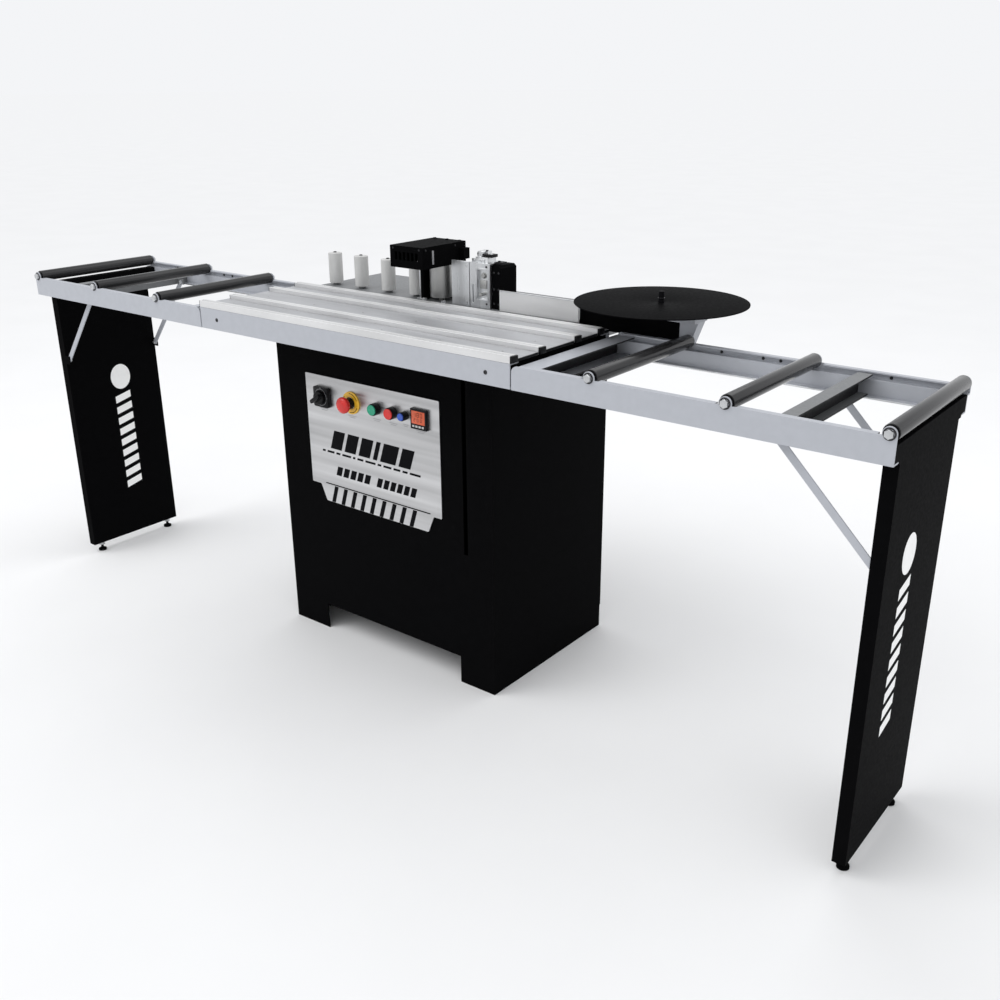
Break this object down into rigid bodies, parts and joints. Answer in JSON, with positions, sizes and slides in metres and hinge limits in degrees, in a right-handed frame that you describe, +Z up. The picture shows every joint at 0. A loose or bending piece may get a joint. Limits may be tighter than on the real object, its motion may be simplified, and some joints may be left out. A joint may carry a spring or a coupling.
{
  "type": "edge banding machine",
  "caption": "Manual edge banding machine: black cabinet, ribbed aluminium table, roller extensions on panel legs, banding head with pressure rollers, fence and coil disc.",
  "frame": {"origin": "middle of the footprint, on the floor", "axes": "+X to the operator's right along the table, +Y away from the operator, +Z up"},
  "size_m": [2.433, 0.596, 1.001],
  "materials": {
    "black_powder_coat": "fine satin powder coat",
    "grey_powder_coat": "smooth light grey powder coat",
    "dark_paint": "satin mid-grey paint",
    "table_aluminium": "extruded, light satin",
    "machined_aluminium": "machined satin",
    "brushed_plate": "horizontal brush lines",
    "feed_steel": "turned steel",
    "roller_steel": "dark drawn steel tube",
    "blade_steel": "ground steel",
    "roller_cover": "smooth off-white rubber",
    "black_plastic": "fine moulded texture",
    "red_plastic": "moulded, semi-gloss",
    "yellow_plastic": "moulded, semi-gloss",
    "green_plastic": "moulded, semi-gloss",
    "blue_plastic": "moulded, semi-gloss"
  },
  "bodies": {
    "frame": {"cabinet_shell": "black_powder_coat", "cabinet_rear_panel": "black_powder_coat", "head_hood": "black_powder_coat", "coil_arm": "black_powder_coat", "cutter_solenoid": "black_powder_coat", "electrical_panel": "grey_powder_coat", "control_plate": "brushed_plate", "isolator_base": "black_plastic", "temperature_controller": "black_plastic", "estop_collar": "yellow_plastic", "front_fascia": "grey_powder_coat", "rear_fascia": "grey_powder_coat", "coil_bracket": "grey_powder_coat", "table_bearer_left": "black_powder_coat", "table_bearer_right": "black_powder_coat", "table_profile_1": "table_aluminium", "table_profile_2": "table_aluminium", "table_profile_3": "table_aluminium", "table_profile_4": "table_aluminium", "head_base_plate": "dark_paint", "feed_gearmotor": "dark_paint", "tape_fence": "table_aluminium", "glue_tank": "machined_aluminium", "cutter_block": "machined_aluminium", "left_front_rail": "grey_powder_coat", "left_rear_rail": "grey_powder_coat", "left_inner_cross": "grey_powder_coat", "left_outer_cross": "dark_paint", "left_leg": "black_powder_coat", "left_front_brace": "grey_powder_coat", "left_rear_brace": "grey_powder_coat", "right_front_rail": "grey_powder_coat", "right_rear_rail": "grey_powder_coat", "right_inner_cross": "grey_powder_coat", "right_outer_cross": "dark_paint", "right_leg": "black_powder_coat", "right_front_brace": "grey_powder_coat", "right_rear_brace": "grey_powder_coat"},
    "left_support_roller_1": {"left_support_roller_1": "roller_steel"},
    "left_support_roller_2": {"left_support_roller_2": "roller_steel"},
    "left_support_roller_3": {"left_support_roller_3": "roller_steel"},
    "right_support_roller_1": {"right_support_roller_1": "roller_steel"},
    "right_support_roller_2": {"right_support_roller_2": "roller_steel"},
    "right_support_roller_3": {"right_support_roller_3": "roller_steel"},
    "pressure_roller_1": {"pressure_roller_1": "roller_cover"},
    "pressure_roller_2": {"pressure_roller_2": "roller_cover"},
    "pressure_roller_3": {"pressure_roller_3": "roller_cover"},
    "pressure_roller_4": {"pressure_roller_4": "roller_cover"},
    "feed_roller": {"feed_roller": "feed_steel"},
    "coil_disc": {"coil_disc": "black_powder_coat"},
    "cutter_blade": {"cutter_blade": "blade_steel"},
    "isolator_knob": {"isolator_knob": "black_plastic"},
    "estop_button": {"estop_button": "red_plastic"},
    "start_button": {"start_button": "green_plastic"},
    "stop_button": {"stop_button": "red_plastic"},
    "reset_button": {"reset_button": "blue_plastic"},
    "left_front_foot": {"left_front_foot": "black_powder_coat"},
    "left_rear_foot": {"left_rear_foot": "black_powder_coat"},
    "right_front_foot": {"right_front_foot": "black_powder_coat"},
    "right_rear_foot": {"right_rear_foot": "black_powder_coat"}
  },
  "joints": [
    {"name": "left_support_roller_1_spin", "type": "hinge", "parent": "frame", "child": "left_support_roller_1", "pos_m": [-0.653, -0.103, 0.8555], "axis": [0, 1, 0], "continuous": true},
    {"name": "left_support_roller_2_spin", "type": "hinge", "parent": "frame", "child": "left_support_roller_2", "pos_m": [-0.926, -0.103, 0.8555], "axis": [0, 1, 0], "continuous": true},
    {"name": "left_support_roller_3_spin", "type": "hinge", "parent": "frame", "child": "left_support_roller_3", "pos_m": [-1.202, -0.103, 0.8555], "axis": [0, 1, 0], "continuous": true},
    {"name": "right_support_roller_1_spin", "type": "hinge", "parent": "frame", "child": "right_support_roller_1", "pos_m": [0.653, -0.103, 0.8555], "axis": [0, 1, 0], "continuous": true},
    {"name": "right_support_roller_2_spin", "type": "hinge", "parent": "frame", "child": "right_support_roller_2", "pos_m": [0.926, -0.103, 0.8555], "axis": [0, 1, 0], "continuous": true},
    {"name": "right_support_roller_3_spin", "type": "hinge", "parent": "frame", "child": "right_support_roller_3", "pos_m": [1.202, -0.103, 0.8555], "axis": [0, 1, 0], "continuous": true},
    {"name": "pressure_roller_1_spin", "type": "hinge", "parent": "frame", "child": "pressure_roller_1", "pos_m": [-0.403, 0.096, 0.913], "axis": [0, 0, 1], "continuous": true},
    {"name": "pressure_roller_2_spin", "type": "hinge", "parent": "frame", "child": "pressure_roller_2", "pos_m": [-0.308, 0.096, 0.913], "axis": [0, 0, 1], "continuous": true},
    {"name": "pressure_roller_3_spin", "type": "hinge", "parent": "frame", "child": "pressure_roller_3", "pos_m": [-0.213, 0.096, 0.913], "axis": [0, 0, 1], "continuous": true},
    {"name": "pressure_roller_4_spin", "type": "hinge", "parent": "frame", "child": "pressure_roller_4", "pos_m": [-0.118, 0.096, 0.913], "axis": [0, 0, 1], "continuous": true},
    {"name": "feed_roller_spin", "type": "hinge", "parent": "frame", "child": "feed_roller", "pos_m": [-0.037, 0.097, 0.914], "axis": [0, 0, 1], "continuous": true},
    {"name": "coil_disc_spin", "type": "hinge", "parent": "frame", "child": "coil_disc", "pos_m": [0.576, 0.094, 0.924], "axis": [0, 0, 1], "continuous": true},
    {"name": "cutter_blade_stroke", "type": "slide", "parent": "frame", "child": "cutter_blade", "axis": [0, -1, 0], "range_m": [0, 0.006], "stiffness_N_per_m": 400},
    {"name": "isolator_turn", "type": "hinge", "parent": "frame", "child": "isolator_knob", "pos_m": [-0.2025, -0.17, 0.6465], "axis": [0, -1, 0], "range_deg": [0, 90]},
    {"name": "estop_press", "type": "slide", "parent": "frame", "child": "estop_button", "axis": [0, 1, 0], "range_m": [0, 0.005], "stiffness_N_per_m": 600},
    {"name": "start_press", "type": "slide", "parent": "frame", "child": "start_button", "axis": [0, 1, 0], "range_m": [0, 0.003], "stiffness_N_per_m": 300},
    {"name": "stop_press", "type": "slide", "parent": "frame", "child": "stop_button", "axis": [0, 1, 0], "range_m": [0, 0.003], "stiffness_N_per_m": 300},
    {"name": "reset_press", "type": "slide", "parent": "frame", "child": "reset_button", "axis": [0, 1, 0], "range_m": [0, 0.003], "stiffness_N_per_m": 300},
    {"name": "left_front_foot_turn", "type": "hinge", "parent": "frame", "child": "left_front_foot", "pos_m": [-1.188, -0.23, 0.02], "axis": [0, 0, 1], "continuous": true},
    {"name": "left_rear_foot_turn", "type": "hinge", "parent": "frame", "child": "left_rear_foot", "pos_m": [-1.188, 0.01, 0.02], "axis": [0, 0, 1], "continuous": true},
    {"name": "right_front_foot_turn", "type": "hinge", "parent": "frame", "child": "right_front_foot", "pos_m": [1.2, -0.23, 0.02], "axis": [0, 0, 1], "continuous": true},
    {"name": "right_rear_foot_turn", "type": "hinge", "parent": "frame", "child": "right_rear_foot", "pos_m": [1.2, 0.01, 0.02], "axis": [0, 0, 1], "continuous": true}
  ]
}
